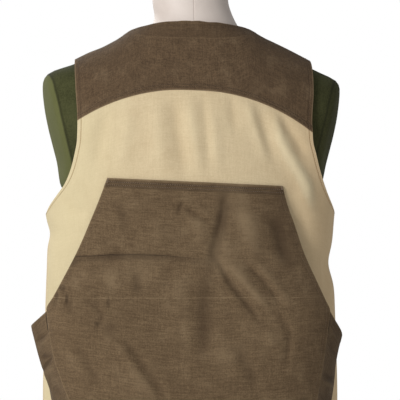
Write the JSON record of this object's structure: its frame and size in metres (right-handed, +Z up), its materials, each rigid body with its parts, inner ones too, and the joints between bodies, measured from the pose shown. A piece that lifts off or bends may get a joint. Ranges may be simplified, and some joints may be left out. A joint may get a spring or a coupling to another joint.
{
  "type": "unlined canvas gilet on a limbless dress form",
  "caption": "Sleeveless two-tone canvas gilet with a shoulder yoke, a buttoned front and a wide back pouch, worn on an armless dress form that stands on its flat base.",
  "frame": {"origin": "middle of the dress form's flat base, under the neck", "axes": "+Z up, the wearer's front faces -Y, the back with the pouch faces +Y, the wearer's left is +X"},
  "size_m": [0.4926, 0.2963, 0.83],
  "materials": {
    "khaki": "close-woven khaki cotton canvas, matt",
    "brown_yoke": "dark brown slub canvas, matt",
    "brown_pouch": "lighter brown coarse slub canvas, matt, creased",
    "form_cover": "dark green knitted cover, matt",
    "form_neck": "pale moulded shell, satin",
    "button_horn": "dark brown, satin"
  },
  "bodies": {
    "root": {"back_panel": "khaki", "back_yoke": "brown_yoke", "front_left": "khaki", "front_right": "khaki", "front_yoke_left": "brown_yoke", "front_yoke_right": "brown_yoke", "pouch_panel": "brown_pouch", "pouch_gusset_left": "brown_pouch", "pouch_gusset_right": "brown_pouch", "form_torso": "form_cover", "form_neck": "form_neck", "button_1": "button_horn", "button_2": "button_horn", "button_3": "button_horn", "button_4": "button_horn", "button_5": "button_horn"}
  },
  "joints": []
}
